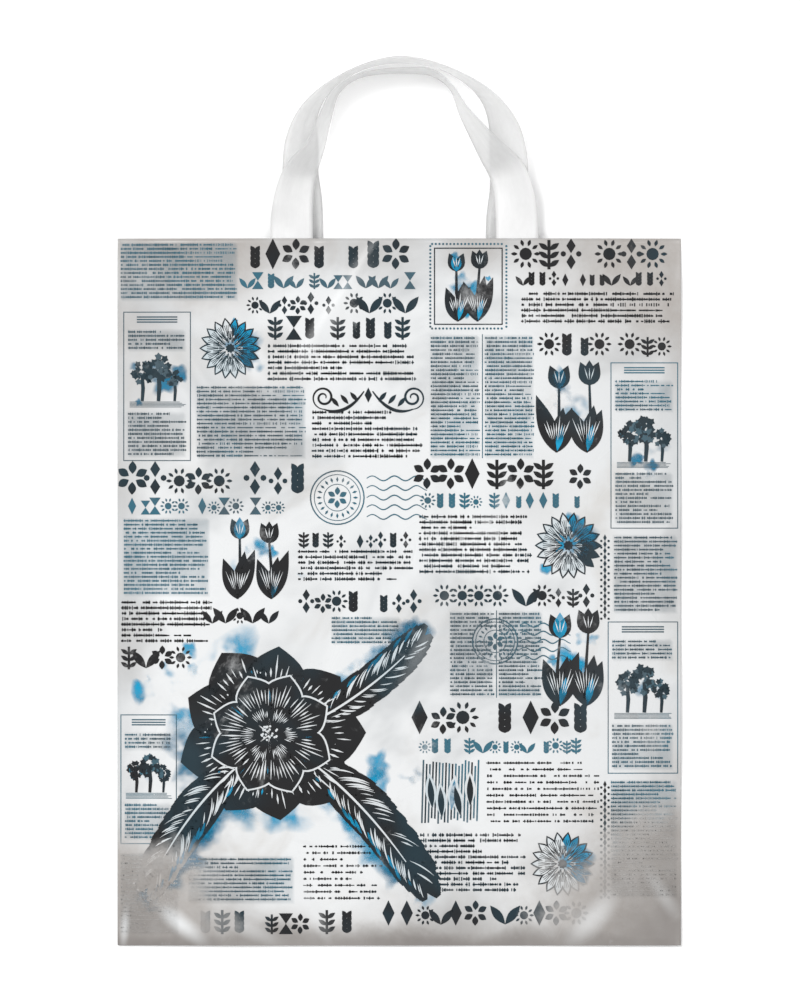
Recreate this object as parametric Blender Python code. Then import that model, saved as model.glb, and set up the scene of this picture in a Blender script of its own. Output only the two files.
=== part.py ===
"""A plastic carrier bag with two film loop handles, lying on its back.

Run with blender --background --python part.py, or from Blender's text editor.
Metres. The back of the bag lies on z = 0, its mouth and handles point to +Y,
and its printed front looks up to +Z. The origin is under the middle of the whole
outline, bag and handles together.
"""

import math

import bmesh
import bpy
import numpy as np

# The bag: one web of film, folded at the bottom and welded along both sides.
WIDTH = 0.400
LENGTH = 0.502          # bottom fold to mouth
WALL = 0.0004           # stands in for film of 0.07 mm
WELD = 0.006            # how wide the side welds are
GAPE = 0.010            # clear height inside, where the front panel lies level
CLOSED = 0.0004         # clear height that is left beside a weld or the fold
LEVEL_HALF = 0.105      # the front panel is level this far each side of the middle
RISE = 0.130            # and from this far above the bottom fold

# The handles: two strips of thicker film, each bent into one loop.
STRIP_WIDTH = 0.030
STRIP = 0.0005          # stands in for film of 0.15 mm
CLEAR = 0.0003          # gap to the film that a strip is welded to
TUCK = 0.035            # how far a strip's ends reach down inside the mouth
REACH = 0.129           # mouth to the top of the taller loop
OFFSET = 0.0036         # the loops sit this far right of the bag's middle
FLOOR_GAP = 0.0003      # a loop's lower edge stays this far off the floor
STEP = 0.006            # length of one facet along a strip

BOTTOM = -(LENGTH + REACH) / 2
MOUTH = BOTTOM + LENGTH
LOW_LEG = WALL + CLEAR + STRIP / 2
HIGH_LEG = WALL + GAPE - CLEAR - STRIP / 2

# One row for each station of a loop, in millimetres and degrees, left leg to right leg:
# across and up from the mouth's middle, how far the strip has turned on to its edge,
# and how high its lower edge lies.
LOW, HIGH, REST = 1000 * LOW_LEG, 1000 * HIGH_LEG, 1000 * (FLOOR_GAP + STRIP / 2)
INSIDE = -1000 * TUCK
BACK_LOOP = (           # follows the strip's outer edge
    (-88, INSIDE, 0, LOW),
    (-88, 4, 0, LOW),
    (-87.3, 25, 15, REST),
    (-86.5, 48, 32, REST),
    (-84, 71, 38, REST),
    (-75, 91, 59, REST),
    (-57, 108.5, 78, REST),
    (-31, 122.5, 84, REST),
    (-2, 129, 81, REST),
    (31, 121.5, 83, REST),
    (60, 106, 71, REST),
    (79, 85, 45, REST),
    (86.5, 62, 29, REST),
    (88, 35, 24, REST),
    (88, 4, 0, LOW),
    (88, INSIDE, 0, LOW),
)
FRONT_LOOP = (          # follows the strip's inner edge
    (-65, INSIDE, 0, HIGH),
    (-65, 4, 0, HIGH),
    (-65, 20, 15, 8.0),
    (-63, 42, 36, 4.5),
    (-57, 62.5, 61, 2.0),
    (-51.5, 86, 73, 0.8),
    (-46, 103, 79, REST),
    (-33.5, 113, 84, REST),
    (0, 117.3, 83, REST),
    (20, 115, 82, REST),
    (32, 106, 84, REST),
    (39.5, 86.5, 73, 0.8),
    (53, 58, 50, 2.0),
    (61.5, 41, 29, 4.5),
    (64.5, 20, 8, 8.0),
    (65, 4, 0, HIGH),
    (65, INSIDE, 0, HIGH),
)


def clear_scene():
    for obj in list(bpy.data.objects):
        bpy.data.objects.remove(obj, do_unlink=True)


def film_material(name, colour, roughness):
    material = bpy.data.materials.new(name)
    material.use_nodes = True
    shader = material.node_tree.nodes["Principled BSDF"]
    shader.inputs["Base Color"].default_value = (*colour, 1.0)
    shader.inputs["Roughness"].default_value = roughness
    shader.inputs["Metallic"].default_value = 0.0
    return material


def smoothstep(value):
    value = min(max(value, 0.0), 1.0)
    return value * value * (3.0 - 2.0 * value)


def gape(x, y):
    """Clear height between the two panels: level in the middle, closed at welds and fold."""
    inner_half = WIDTH / 2 - WELD
    across = smoothstep((inner_half - abs(x)) / (inner_half - LEVEL_HALF))
    along = smoothstep((y - BOTTOM) / RISE)
    return CLOSED + (GAPE - CLOSED) * across * along


def columns():
    """Places across the bag: the weld's two edges, then closer together where the film curves."""
    half = [WIDTH / 2, WIDTH / 2 - WELD]
    half += list(np.linspace(WIDTH / 2 - WELD, LEVEL_HALF, 8)[1:])
    half += [0.5 * LEVEL_HALF]
    return [-x for x in half] + [0.0] + half[::-1]


def rows():
    """Places along the bag: its fold, the cavity's end, the curved stretch and the level one."""
    curved = list(np.linspace(BOTTOM + WALL, BOTTOM + RISE, 9))
    return [BOTTOM] + curved + list(np.linspace(BOTTOM + RISE, MOUTH, 5)[1:])


def add_grid(mesh, grid):
    """Faces over a grid of vertices, turned later by recalculating all the normals."""
    for low, high in zip(grid, grid[1:]):
        for a, b, c, d in zip(low, low[1:], high[1:], high):
            mesh.faces.new((a, b, c, d))


def bag_body():
    """A pouch whose cavity is one block of space open at the mouth."""
    mesh = bmesh.new()
    xs, ys = columns(), rows()

    def sheet(across, along, height):
        return [[mesh.verts.new((x, y, height(x, y))) for x in across] for y in along]

    def top(x, y):
        if abs(x) > WIDTH / 2 - WELD / 2:
            return 2 * WALL
        return 2 * WALL + gape(x, y)

    outer_front = sheet(xs, ys, top)
    outer_back = sheet(xs, ys, lambda x, y: 0.0)
    inner_front = sheet(xs[1:-1], ys[1:], lambda x, y: WALL + gape(x, y))
    inner_back = sheet(xs[1:-1], ys[1:], lambda x, y: WALL)
    for grid in (outer_front, outer_back, inner_front, inner_back):
        add_grid(mesh, grid)
    # The fold outside, and the cavity's end inside it.
    add_grid(mesh, (outer_front[0], outer_back[0]))
    add_grid(mesh, (inner_front[0], inner_back[0]))
    for end in (0, -1):
        add_grid(mesh, ([row[end] for row in outer_front], [row[end] for row in outer_back]))
        add_grid(mesh, ([row[end] for row in inner_front], [row[end] for row in inner_back]))
    # The rim of the mouth, and the cut end of each weld beside it.
    add_grid(mesh, (outer_front[-1][1:-1], inner_front[-1]))
    add_grid(mesh, (outer_back[-1][1:-1], inner_back[-1]))
    for end, beside in ((0, 1), (-1, -2)):
        mesh.faces.new(
            (
                outer_front[-1][end],
                outer_front[-1][beside],
                inner_front[-1][end],
                inner_back[-1][end],
                outer_back[-1][beside],
                outer_back[-1][end],
            )
        )
    bmesh.ops.recalc_face_normals(mesh, faces=mesh.faces)
    return mesh


def smooth_stations(stations):
    """Rows every STEP along a smooth curve through the stations, as an array in metres and radians."""
    points = np.array(stations, dtype=float)
    points[:, (0, 1, 3)] /= 1000.0
    points[:, 2] = np.radians(points[:, 2])
    padded = np.vstack((2 * points[0] - points[1], points, 2 * points[-1] - points[-2]))
    path = []
    for before, here, there, after in zip(padded, padded[1:], padded[2:], padded[3:]):
        # Centripetal knots keep the curve from looping where stations are unevenly spaced.
        knots = [0.0]
        for a, b in ((before, here), (here, there), (there, after)):
            knots.append(knots[-1] + math.sqrt(math.hypot(*(b - a)[:2])))
        count = max(1, round(math.hypot(*(there - here)[:2]) / STEP))
        for t in np.linspace(knots[1], knots[2], count, endpoint=False):
            a1 = blend(before, here, knots[0], knots[1], t)
            a2 = blend(here, there, knots[1], knots[2], t)
            a3 = blend(there, after, knots[2], knots[3], t)
            b1 = blend(a1, a2, knots[0], knots[2], t)
            b2 = blend(a2, a3, knots[1], knots[3], t)
            path.append(blend(b1, b2, knots[1], knots[2], t))
    path.append(points[-1])
    path = np.array(path)
    path[:, 2] = np.clip(path[:, 2], 0.0, math.pi / 2)
    path[:, 3] = np.clip(path[:, 3], FLOOR_GAP + STRIP / 2, HIGH_LEG)
    return path


def blend(first, last, start, end, t):
    return ((end - t) * first + (t - start) * last) / (end - start)


def loop_strip(stations, follows_outer_edge):
    """A strip standing more and more on its inner edge, as one sheet that Solidify thickens."""
    path = smooth_stations(stations)
    ahead = np.gradient(path[:, :2], axis=0)
    ahead /= np.linalg.norm(ahead, axis=1)[:, None]
    mesh = bmesh.new()
    grid = []
    for (x, y, turn, low), (east, north) in zip(path, ahead):
        inward = np.array((north, -east)) * STRIP_WIDTH * math.cos(turn)
        edge = np.array((x + OFFSET, y + MOUTH))
        inner = edge + inward if follows_outer_edge else edge
        outer = inner - inward
        high = low + STRIP_WIDTH * math.sin(turn)
        grid.append([mesh.verts.new((*outer, high)), mesh.verts.new((*inner, low))])
    add_grid(mesh, grid)
    bmesh.ops.recalc_face_normals(mesh, faces=mesh.faces)
    return mesh


def add_object(name, built, material):
    mesh = bpy.data.meshes.new(name)
    built.to_mesh(mesh)
    built.free()
    mesh.materials.append(material)
    mesh.shade_smooth()
    mesh.set_sharp_from_angle(angle=math.radians(35))
    obj = bpy.data.objects.new(name, mesh)
    bpy.context.scene.collection.objects.link(obj)
    return obj


def add_strip(name, stations, follows_outer_edge, material):
    obj = add_object(name, loop_strip(stations, follows_outer_edge), material)
    solidify = obj.modifiers.new("film", "SOLIDIFY")
    solidify.thickness = STRIP
    solidify.offset = 0.0
    return obj


clear_scene()
add_object("bag_body", bag_body(), film_material("printed film", (0.78, 0.79, 0.80), 0.28))
white_film = film_material("white film", (0.86, 0.87, 0.88), 0.35)
add_strip("front_handle", FRONT_LOOP, False, white_film)
add_strip("back_handle", BACK_LOOP, True, white_film.copy())
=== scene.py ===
"""Looks of a printed plastic carrier bag with two milky film loop handles, lying on its back."""

import math
import random

import bmesh
import bpy
import numpy as np
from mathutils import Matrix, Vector


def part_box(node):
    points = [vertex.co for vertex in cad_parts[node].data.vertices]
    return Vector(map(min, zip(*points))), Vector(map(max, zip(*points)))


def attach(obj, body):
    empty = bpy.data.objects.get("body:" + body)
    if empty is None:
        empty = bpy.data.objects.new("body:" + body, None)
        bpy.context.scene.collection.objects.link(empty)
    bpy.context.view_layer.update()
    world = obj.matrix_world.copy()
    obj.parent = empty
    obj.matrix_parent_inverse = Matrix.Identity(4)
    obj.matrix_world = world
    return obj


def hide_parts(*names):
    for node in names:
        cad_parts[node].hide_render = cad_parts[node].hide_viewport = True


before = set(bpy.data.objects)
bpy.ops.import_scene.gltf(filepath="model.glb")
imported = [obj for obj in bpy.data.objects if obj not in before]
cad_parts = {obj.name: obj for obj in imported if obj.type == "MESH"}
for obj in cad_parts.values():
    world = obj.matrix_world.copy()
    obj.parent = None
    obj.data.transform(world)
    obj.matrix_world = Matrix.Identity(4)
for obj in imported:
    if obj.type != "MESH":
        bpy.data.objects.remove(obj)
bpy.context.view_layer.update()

MM = 0.001

# The bag, from the frame.
BAG_LOW, BAG_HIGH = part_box("bag_body")
HALF = (BAG_HIGH.x - BAG_LOW.x) / 2
FOLD = BAG_LOW.y
MOUTH = BAG_HIGH.y
LENGTH = MOUTH - FOLD
PILLOW = BAG_HIGH.z - 0.9 * MM      # how high the air inside lifts the front panel
FILM = 0.12 * MM                    # wall of the bag
BACK = 0.30 * MM                    # the back panel's outside, clear of the floor for its print
WELD = 1.6 * MM                     # width of the fused edge along each side
SHUT = 0.10 * MM                    # clear height where the two panels lie on each other
LEVEL_HALF = 100 * MM               # the front panel is level this far each side of the middle
EDGE_LIFT = 2.2 * MM                # how far the edges lift off the floor at most
GRID = 3.4 * MM                     # spacing of the film's own mesh

# The handles.
STRIP_WIDTH = 30 * MM
STRIP = 0.22 * MM
OFFSET = 3.6 * MM                   # the loops sit this far right of the bag's middle
TUCKED = 0.3 * MM                   # a welded strip lies this far from its panel
REST = 0.6                          # height of a loop's lower edge, in millimetres
LOW = 0.9                           # height of the back legs, in millimetres
HIGH = 9.6                          # height of the front legs, in millimetres
STATION_STEP = 2.0 * MM
LIT_LEG_REACH = 44 * MM                   # the front legs are painted whiter and more opaque up to here, as painted light for their flat, lit stretch

# Stations of each loop, left leg to right leg: across and up from the mouth's middle in
# millimetres, the turn on to its edge in degrees, and the height of its lower edge.
BACK_LOOP = (                       # follows the strip's outer edge
    (-88, -35, 0, LOW), (-88, 4, 0, LOW), (-87.3, 25, 15, REST), (-86.5, 48, 32, REST),
    (-84, 71, 38, REST), (-75, 91, 59, REST), (-57, 108.5, 78, REST), (-31, 122.5, 84, REST),
    (-2, 129, 81, REST), (31, 121.5, 83, REST), (60, 106, 71, REST), (79, 85, 45, REST),
    (86.5, 62, 29, REST), (88, 35, 24, REST), (88, 4, 0, LOW), (88, -35, 0, LOW),
)
FRONT_LOOP = (                      # follows the strip's inner edge
    (-65, -35, 0, HIGH), (-65, 4, 0, HIGH), (-65, 20, 15, 8.0), (-63, 42, 36, 4.5),
    (-57, 62.5, 61, 2.0), (-51.5, 86, 73, 0.8), (-46, 103, 79, REST), (-33.5, 113, 84, REST),
    (0, 117.3, 83, REST), (20, 115, 82, REST), (32, 106, 84, REST), (39.5, 86.5, 73, 0.8),
    (53, 58, 50, 2.0), (61.5, 41, 29, 4.5), (64.5, 20, 8, 8.0), (65, 4, 0, HIGH),
    (65, -35, 0, HIGH),
)

# The view: straight down, from far away.
VIEW_HEIGHT = 12.0
VIEW_LENGTH = 0.710                 # length of floor that the picture's height covers
VIEW_CENTRE = (0.5 * MM, 0.8 * MM)
SENSOR = 36.0
FLOOR_BELOW = 0.2 * MM              # the drawn floor lies this far under the part
ROOM_LIGHT = 0.68                   # light from all around; the room itself looks white

# Soft folds in the front panel, in millimetres from the middle of the bottom fold:
# start, end, height, half width.
FOLDS = (
    (-12, 502, -82, 392, 2.0, 7),
    (-60, 502, -104, 420, -1.2, 7),
    (52, 282, -14, 150, 1.4, 8),
    (-192, 44, -136, 2, 2.4, 6),
    (-168, 62, -104, 30, 1.6, 7),
    (-70, 62, -48, 0, 2.0, 7),
    (114, 0, 150, 62, 2.0, 6),
    (150, 62, 186, 2, 1.6, 6),
    (90, 48, 116, 0, -1.4, 6),
    (196, 330, 120, 300, 1.4, 7),
    (-196, 250, -130, 230, 1.4, 8),
    (30, 502, 60, 450, 1.0, 7),
    (150, 502, 176, 440, 1.5, 7),
)


# ---- the film's shape ----------------------------------------------------------------


def smoothstep(value):
    value = np.clip(value, 0.0, 1.0)
    return value * value * (3.0 - 2.0 * value)


def waves(x, y, length, count, seed):
    """Smooth, repeatable unevenness from -1 to 1 with ripples of about this length."""
    draw = random.Random(seed)
    x, y = np.broadcast_arrays(x, y)
    total = np.zeros(x.shape)
    for _ in range(count):
        turn = draw.uniform(0, math.tau)
        step = math.tau / (length * draw.uniform(0.7, 1.5))
        start = draw.uniform(0, math.tau)
        total += np.sin(step * (x * math.cos(turn) + y * math.sin(turn)) + start)
    return total / count ** 0.5 / 1.4


def fold_height(x, y):
    """Height that the soft folds add, as ridges with a rounded crest that fade at both ends."""
    total = np.zeros_like(x)
    for x0, y0, x1, y1, high, wide in FOLDS:
        start = np.array((x0 * MM, FOLD + y0 * MM))
        along = np.array((x1 * MM, FOLD + y1 * MM)) - start
        length = np.hypot(*along)
        along = along / length
        run = (x - start[0]) * along[0] + (y - start[1]) * along[1]
        side = (y - start[1]) * along[0] - (x - start[0]) * along[1]
        beyond = np.maximum(np.maximum(-run, run - length), 0.0)
        spread = wide * MM * (0.7 + 0.6 * np.clip(run / length, 0, 1))
        crest = np.exp(1.0 - np.sqrt(1.0 + 3.0 * (side / spread) ** 2))
        total += high * MM * crest * np.exp(-((beyond / (14 * MM)) ** 2))
    return total


def edge_share(x, y):
    """0 at the welds and the bottom fold, 1 in the middle."""
    across = smoothstep((HALF - WELD - np.abs(x)) / (HALF - LEVEL_HALF))
    along = 1.0 - np.clip(1.0 - (y - FOLD) / (0.45 * LENGTH), 0, 1) ** 2.6
    return across ** 0.8 * np.clip(along, 0, 1)


def puckers(x, y):
    """Small ripples that run in from the side welds and the bottom fold."""
    from_side = (HALF - np.abs(x)) / (13 * MM)
    from_fold = (y - FOLD) / (11 * MM)
    side = waves(y, 0.15 * x, 15 * MM, 5, 4) * np.exp(-from_side)
    fold = waves(x, 0.15 * y, 17 * MM, 5, 9) * np.exp(-from_fold)
    rise = smoothstep((HALF - WELD - np.abs(x)) / (6 * MM)) * smoothstep((y - FOLD) / (5 * MM))
    return 0.55 * MM * (side + fold) * rise


def back_height(x, y):
    """Underside of the back panel, which lifts off the floor a little along the welds and the fold."""
    edge = np.minimum(HALF - np.abs(x), y - FOLD)
    uneven = 0.62 + 0.38 * waves(x, y, 130 * MM, 5, 14)
    fade = smoothstep((MOUTH - y) / (40 * MM))
    return BACK + EDGE_LIFT * np.exp(-np.maximum(edge, 0) / (9 * MM)) * np.clip(uneven, 0.15, 1.0) * fade


def front_height(x, y):
    """Top of the front panel above the floor."""
    share = edge_share(x, y)
    lie = 0.35 * waves(x, y, 95 * MM, 7, 2) + 0.16 * waves(x, y, 38 * MM, 8, 3)
    soft = smoothstep(share / 0.5)
    free = smoothstep((HALF - WELD - np.abs(x)) / (14 * MM)) * smoothstep((y - FOLD) / (12 * MM))
    gap = SHUT + (PILLOW - BACK - 2 * FILM) * share + soft * lie * MM + free * fold_height(x, y)
    return back_height(x, y) + 2 * FILM + np.maximum(gap + puckers(x, y), SHUT)


# ---- meshes --------------------------------------------------------------------------


def new_object(name, vertices, faces, material, smooth=True):
    mesh = bpy.data.meshes.new(name)
    mesh.from_pydata([tuple(v) for v in vertices], [], [tuple(f) for f in faces])
    mesh.validate()
    mesh.materials.append(material)
    if smooth:
        mesh.shade_smooth()
    obj = bpy.data.objects.new(name, mesh)
    bpy.context.scene.collection.objects.link(obj)
    return obj


def turn_faces_out(obj):
    shape = bmesh.new()
    shape.from_mesh(obj.data)
    bmesh.ops.recalc_face_normals(shape, faces=shape.faces)
    shape.to_mesh(obj.data)
    shape.free()


def planar_map(obj):
    """Lays the piece's map flat, seen from above, so that nothing in it is stretched."""
    layer = obj.data.uv_layers.new(name="OFBake")
    for loop in obj.data.loops:
        place = obj.data.vertices[loop.vertex_index].co
        layer.data[loop.index].uv = ((place.x + HALF) / LENGTH, (place.y - FOLD) / LENGTH)


def lines_between(low, high, step):
    return np.linspace(low, high, max(2, round((high - low) / step) + 1))


def grid_lines():
    """Where the film's own mesh has its rows and columns."""
    xs = lines_between(-HALF + WELD, HALF - WELD, GRID)
    xs = np.concatenate(([-HALF, -HALF + WELD / 2], xs, [HALF - WELD / 2, HALF]))
    ys = lines_between(FOLD + 1.2 * MM, MOUTH, GRID)
    return xs, np.concatenate(([FOLD, FOLD + 0.5 * MM], ys))


class Surface:
    """Height of one panel's own mesh, exactly as its triangles run."""

    def __init__(self, height):
        self.xs, self.ys = grid_lines()
        self.heights = height(*np.meshgrid(self.xs, self.ys))

    def __call__(self, x, y):
        i = np.clip(np.searchsorted(self.xs, x) - 1, 0, len(self.xs) - 2)
        j = np.clip(np.searchsorted(self.ys, y) - 1, 0, len(self.ys) - 2)
        across = (x - self.xs[i]) / (self.xs[i + 1] - self.xs[i])
        along = (y - self.ys[j]) / (self.ys[j + 1] - self.ys[j])
        z = self.heights
        low, far = z[j, i], z[j + 1, i + 1]
        right, left = z[j, i + 1], z[j + 1, i]
        lower = low + across * (right - low) + along * (far - right)
        upper = low + along * (left - low) + across * (far - left)
        return np.where(across >= along, lower, upper)


def bag_film(outside, inside_look):
    """The whole web as one closed shell: two panels joined at the welds and the bottom fold."""
    xs, ys = grid_lines()
    vertices, faces = [], []

    def layer(across, along, height):
        gx, gy = np.meshgrid(across, along)
        gz = height(gx, gy)
        first = len(vertices)
        vertices.extend(np.stack((gx, gy, gz), -1).reshape(-1, 3).tolist())
        return first + np.arange(gx.size).reshape(gx.shape)

    def join(grid):
        for low, high in zip(grid, grid[1:]):
            for a, b, c, d in zip(low, low[1:], high[1:], high):
                faces.append((int(a), int(b), int(c), int(d)))

    inside = xs[2:-2]
    up = ys[2:]
    front = layer(xs, ys, front_outside)
    back = layer(xs, ys, back_height)
    inner_front = layer(inside, up, lambda x, y: front_height(x, y) - FILM)
    inner_back = layer(inside, up, lambda x, y: back_height(x, y) + FILM)
    for grid in (inner_front, inner_back, (inner_front[0], inner_back[0])):
        join(grid)
    for end in (0, -1):
        join((inner_front[:, end], inner_back[:, end]))
    inner_faces = len(faces)
    for grid in (front, back, (front[0], back[0])):
        join(grid)
    for end in (0, -1):
        join((front[:, end], back[:, end]))
    join((front[-1][2:-2], inner_front[-1]))
    join((back[-1][2:-2], inner_back[-1]))
    for near, order in ((0, (0, 1, 2)), (-1, (-1, -2, -3))):
        rim = [front[-1][i] for i in order] + [inner_front[-1][near], inner_back[-1][near]]
        rim += [back[-1][i] for i in reversed(order)]
        faces.append(tuple(int(i) for i in rim))
    obj = new_object("bag_film", vertices, faces, outside)
    obj.data.materials.append(inside_look)
    looks = [1] * inner_faces + [0] * (len(faces) - inner_faces)
    obj.data.polygons.foreach_set("material_index", looks)
    turn_faces_out(obj)
    return obj


def front_outside(x, y):
    """The front panel's outside; the two panels are one bead along the welds."""
    height = front_height(x, y)
    bead = np.clip((HALF - np.abs(x)) / WELD, 0, 1)
    welded = back_height(x, y) + 2 * FILM + 0.25 * MM * np.sin(bead * math.pi)
    return np.where(bead < 1, welded, height)


# ---- handles -------------------------------------------------------------------------


def blend(first, last, start, end, t):
    return ((end - t) * first + (t - start) * last) / (end - start)


def smooth_stations(stations):
    """Rows every STATION_STEP along a smooth curve through the stations, in metres and radians."""
    points = np.array(stations, dtype=float)
    points[:, (0, 1, 3)] *= MM
    points[:, 2] = np.radians(points[:, 2])
    padded = np.vstack((2 * points[0] - points[1], points, 2 * points[-1] - points[-2]))
    path = []
    for before, here, there, after in zip(padded, padded[1:], padded[2:], padded[3:]):
        knots = [0.0]
        for a, b in ((before, here), (here, there), (there, after)):
            knots.append(knots[-1] + math.sqrt(math.hypot(*(b - a)[:2])))
        count = max(1, round(math.hypot(*(there - here)[:2]) / STATION_STEP))
        for t in np.linspace(knots[1], knots[2], count, endpoint=False):
            a1 = blend(before, here, knots[0], knots[1], t)
            a2 = blend(here, there, knots[1], knots[2], t)
            a3 = blend(there, after, knots[2], knots[3], t)
            b1 = blend(a1, a2, knots[0], knots[2], t)
            b2 = blend(a2, a3, knots[1], knots[3], t)
            path.append(blend(b1, b2, knots[1], knots[2], t))
    path.append(points[-1])
    path = np.array(path)
    path[:, 2] = np.clip(path[:, 2], 0.0, math.pi / 2)
    path[:, 3] = np.clip(path[:, 3], REST * MM, HIGH * MM)
    return path


def handle_strip(name, stations, follows_outer_edge, material):
    """One film strip: closed, with its own map along and across the strip."""
    path = smooth_stations(stations)
    ahead = np.gradient(path[:, :2], axis=0)
    ahead /= np.linalg.norm(ahead, axis=1)[:, None]
    across = np.linspace(0.0, 1.0, 9)
    middle = np.zeros((len(path), len(across), 3))
    for row, ((x, y, turn, low), (east, north)) in enumerate(zip(path, ahead)):
        inward = np.array((north, -east)) * STRIP_WIDTH * math.cos(turn)
        edge = np.array((x + OFFSET, y + MOUTH))
        inner = edge + inward if follows_outer_edge else edge
        outer = inner - inward
        high = low + STRIP_WIDTH * math.sin(turn)
        ends = np.array(((*outer, high), (*inner, low)))
        middle[row] = ends[0] + across[:, None] * (ends[1] - ends[0])
    along_way = np.gradient(middle, axis=0)
    across_way = np.gradient(middle, axis=1)
    normal = np.cross(across_way, along_way)
    normal /= np.linalg.norm(normal, axis=2)[:, :, None]
    # Slack film bows a little across its width once it leaves the weld, and its edges waver.
    out = smoothstep((path[:, 1] - 12 * MM) / (40 * MM))[:, None]
    run = np.arange(len(path))[:, None] * STATION_STEP
    seed = 21 if follows_outer_edge else 22
    bow = 0.35 * MM * (1 - (2 * across - 1) ** 2)[None, :] * out
    waver = 0.15 * MM * waves(run, across[None, :] * STRIP_WIDTH, 55 * MM, 5, seed) * out
    middle += normal * (bow * waves(run, 0 * run, 120 * MM, 3, seed) + waver)[:, :, None]
    middle[:, :, 2] = np.maximum(middle[:, :, 2], (REST - 0.2) * MM)
    # Where it is welded, it follows its panel.
    welded = 1.0 - smoothstep((middle[:, :, 1] - MOUTH) / (26 * MM))
    under = np.minimum(middle[:, :, 1], MOUTH)
    front = front_height(middle[:, :, 0], under) - FILM - TUCKED - STRIP / 2
    panel = BACK + FILM + TUCKED + STRIP / 2 if follows_outer_edge else front
    middle[:, :, 2] += welded * (panel - middle[:, :, 2])
    top = middle + normal * STRIP / 2
    bottom = middle - normal * STRIP / 2
    rows, count = len(path), len(across)
    vertices = np.vstack((top.reshape(-1, 3), bottom.reshape(-1, 3)))
    number = np.arange(2 * rows * count).reshape(2, rows, count)
    faces = []
    for r in range(rows - 1):
        for c in range(count - 1):
            a, b, d, e = number[0, r, c], number[0, r, c + 1], number[0, r + 1, c + 1], number[0, r + 1, c]
            faces.append((a, b, d, e))
            a, b, d, e = number[1, r, c], number[1, r + 1, c], number[1, r + 1, c + 1], number[1, r, c + 1]
            faces.append((a, b, d, e))
        for c in (0, count - 1):
            faces.append((number[0, r, c], number[1, r, c], number[1, r + 1, c], number[0, r + 1, c]))
    for r in (0, rows - 1):
        for c in range(count - 1):
            faces.append((number[0, r, c], number[0, r, c + 1], number[1, r, c + 1], number[1, r, c]))
    obj = new_object(name, vertices, [[int(i) for i in f] for f in faces], material)
    length = rows * STATION_STEP
    # Painted light: the front legs get a whiter, more opaque look near the mouth, standing in for their
    # flat stretch catching the light.
    lit_leg = 1.0 - smoothstep((path[:, 1] - LIT_LEG_REACH + 5 * MM) / (10 * MM))
    lit_leg = np.tile(np.repeat(lit_leg * (not follows_outer_edge), count), 2)
    obj.data.attributes.new("lit_leg", "FLOAT", "POINT").data.foreach_set("value", lit_leg)
    layer = obj.data.uv_layers.new(name="strip")
    for loop in obj.data.loops:
        index = loop.vertex_index % (rows * count)
        layer.data[loop.index].uv = (index // count * STATION_STEP, across[index % count] * STRIP_WIDTH)
    turn_faces_out(obj)
    return obj, length


# ---- print: flat shapes, in millimetres from the panel's lower left corner ------------

LEVELS = {      # how far each layer of print lies off the film
    "tint": 0.09, "wash": 0.12, "text": 0.15, "head": 0.18, "motif": 0.21, "vein": 0.24, "top": 0.27,
    "shine": 0.30,
}
BACK_LEVELS = 0.6                   # the back's print lies this share as far off
SHAPES = {ink: bmesh.new() for ink in ("dark", "slate", "cyan", "pale", "tint")}
BROAD = {ink: bmesh.new() for ink in SHAPES}
SOLID = {shape: shape.verts.layers.float.new("solid") for shape in (*SHAPES.values(), *BROAD.values())}
BROAD_FROM = 3.0                    # larger shapes than this are cut up, to follow the film
LEAST_CLEAR = 0.03 * MM             # the print stays at least this far off the film
STEPS_UP = 16                       # shapes of one level are laid in this many hair-thin steps,
STEP_UP = 0.0015                    # so that no two that overlap lie in the same plane
SIDE_MARGIN = 0.6                   # bare film along the sides and the fold
MOUTH_MARGIN = 0.3                  # and along the mouth
TEXT_BLOCKS = []


def around(x, y, away, angle):
    """The point this far away from (x, y), in this direction."""
    return x + away * math.cos(angle), y + away * math.sin(angle)


def put(ink, level, points, solid=None):
    """Adds one flat shape, facing up. Solid says how strong the colour is at each point."""
    solid = solid or [1.0] * len(points)
    points = [(float(p[0]), float(p[1]), strength) for p, strength in zip(points, solid)]
    turns = zip(points, points[1:] + points[:1])
    if sum(a[0] * b[1] - b[0] * a[1] for a, b in turns) < 0:
        points.reverse()
    extent = max(max(p[axis] for p in points) - min(p[axis] for p in points) for axis in (0, 1))
    shape = (BROAD if extent > BROAD_FROM else SHAPES)[ink]
    high = LEVELS[level] + STEP_UP * (len(shape.faces) % STEPS_UP)
    corners = [shape.verts.new((x, y, high)) for x, y, _ in points]
    for corner, (_, _, strength) in zip(corners, points):
        corner[SOLID[shape]] = strength
    shape.faces.new(corners)


def bar(ink, level, x, y, wide, high):
    put(ink, level, ((x, y), (x + wide, y), (x + wide, y + high), (x, y + high)))


def star(ink, level, x, y, outer, inner, points, turn=0.0):
    """A star; with inner equal to outer it is a disc."""
    rim = []
    for i in range(2 * points):
        reach = inner if i % 2 else outer
        angle = turn + math.pi * i / points
        rim.append(around(x, y, reach, angle))
    put(ink, level, rim)


def leaf(ink, level, x, y, angle, long, wide, bulge=1.0):
    """A pointed leaf from (x, y), fattest at bulge / (bulge + 1) of its length."""
    steps = np.linspace(0, 1, 8 if long < 24 else 18)
    half = wide / 2 * np.sin(math.pi * steps ** bulge)
    c, s = math.cos(angle), math.sin(angle)
    near = [(x + long * t * c - h * s, y + long * t * s + h * c) for t, h in zip(steps, half)]
    far = [(x + long * t * c + h * s, y + long * t * s - h * c) for t, h in zip(steps, half)]
    put(ink, level, near + far[-2:0:-1])


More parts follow.
